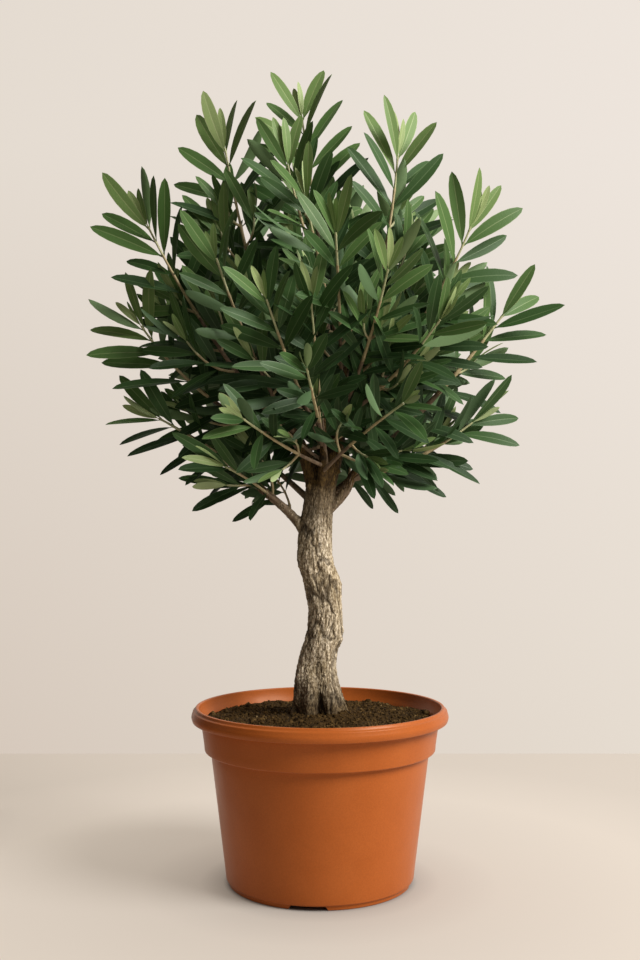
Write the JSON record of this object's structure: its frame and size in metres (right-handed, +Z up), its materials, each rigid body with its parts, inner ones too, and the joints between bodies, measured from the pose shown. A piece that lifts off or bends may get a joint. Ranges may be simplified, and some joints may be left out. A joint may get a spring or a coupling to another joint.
{
  "type": "potted olive tree",
  "caption": "Young olive tree with a short twisted trunk and a rounded head of narrow leaves, growing in a round tapered plastic nursery pot.",
  "frame": {"origin": "on the pot's axis, on the surface that the pot stands on", "axes": "+Z up along the tree; +X to the right and -Y to the front, seen from the side that its notch and low boughs face"},
  "size_m": [0.5512, 0.5235, 0.9635],
  "materials": {
    "pot": "matte",
    "soil": "matte",
    "bark": "matte",
    "young_bark": "matte",
    "leaves": "satin"
  },
  "bodies": {
    "root": {"bough_back_low": "young_bark", "bough_back_low_left": "young_bark", "bough_back_low_right": "young_bark", "bough_front_left_low": "young_bark", "bough_front_right_low": "young_bark", "bough_low_left": "young_bark", "bough_low_right": "young_bark", "bough_mid_right": "young_bark", "foliage_back_low": "leaves", "foliage_back_low_left": "leaves", "foliage_back_low_right": "leaves", "foliage_back_mid": "leaves", "foliage_back_mid_left": "leaves", "foliage_back_mid_right": "leaves", "foliage_back_top": "leaves", "foliage_back_top_left": "leaves", "foliage_back_top_right": "leaves", "foliage_back_upper_left": "leaves", "foliage_back_upper_right": "leaves", "foliage_front_centre": "leaves", "foliage_front_left_high": "leaves", "foliage_front_left_low": "leaves", "foliage_front_right_high": "leaves", "foliage_front_right_low": "leaves", "foliage_heart": "leaves", "foliage_low_left": "leaves", "foliage_low_right": "leaves", "foliage_mid_left": "leaves", "foliage_mid_right": "leaves", "foliage_top_centre": "leaves", "foliage_top_left": "leaves", "foliage_top_right": "leaves", "foliage_upper_left": "leaves", "foliage_upper_right": "leaves", "leader_back": "young_bark", "leader_left": "young_bark", "leader_right": "young_bark", "pot": "pot", "soil": "soil", "trunk": "bark"}
  },
  "joints": []
}
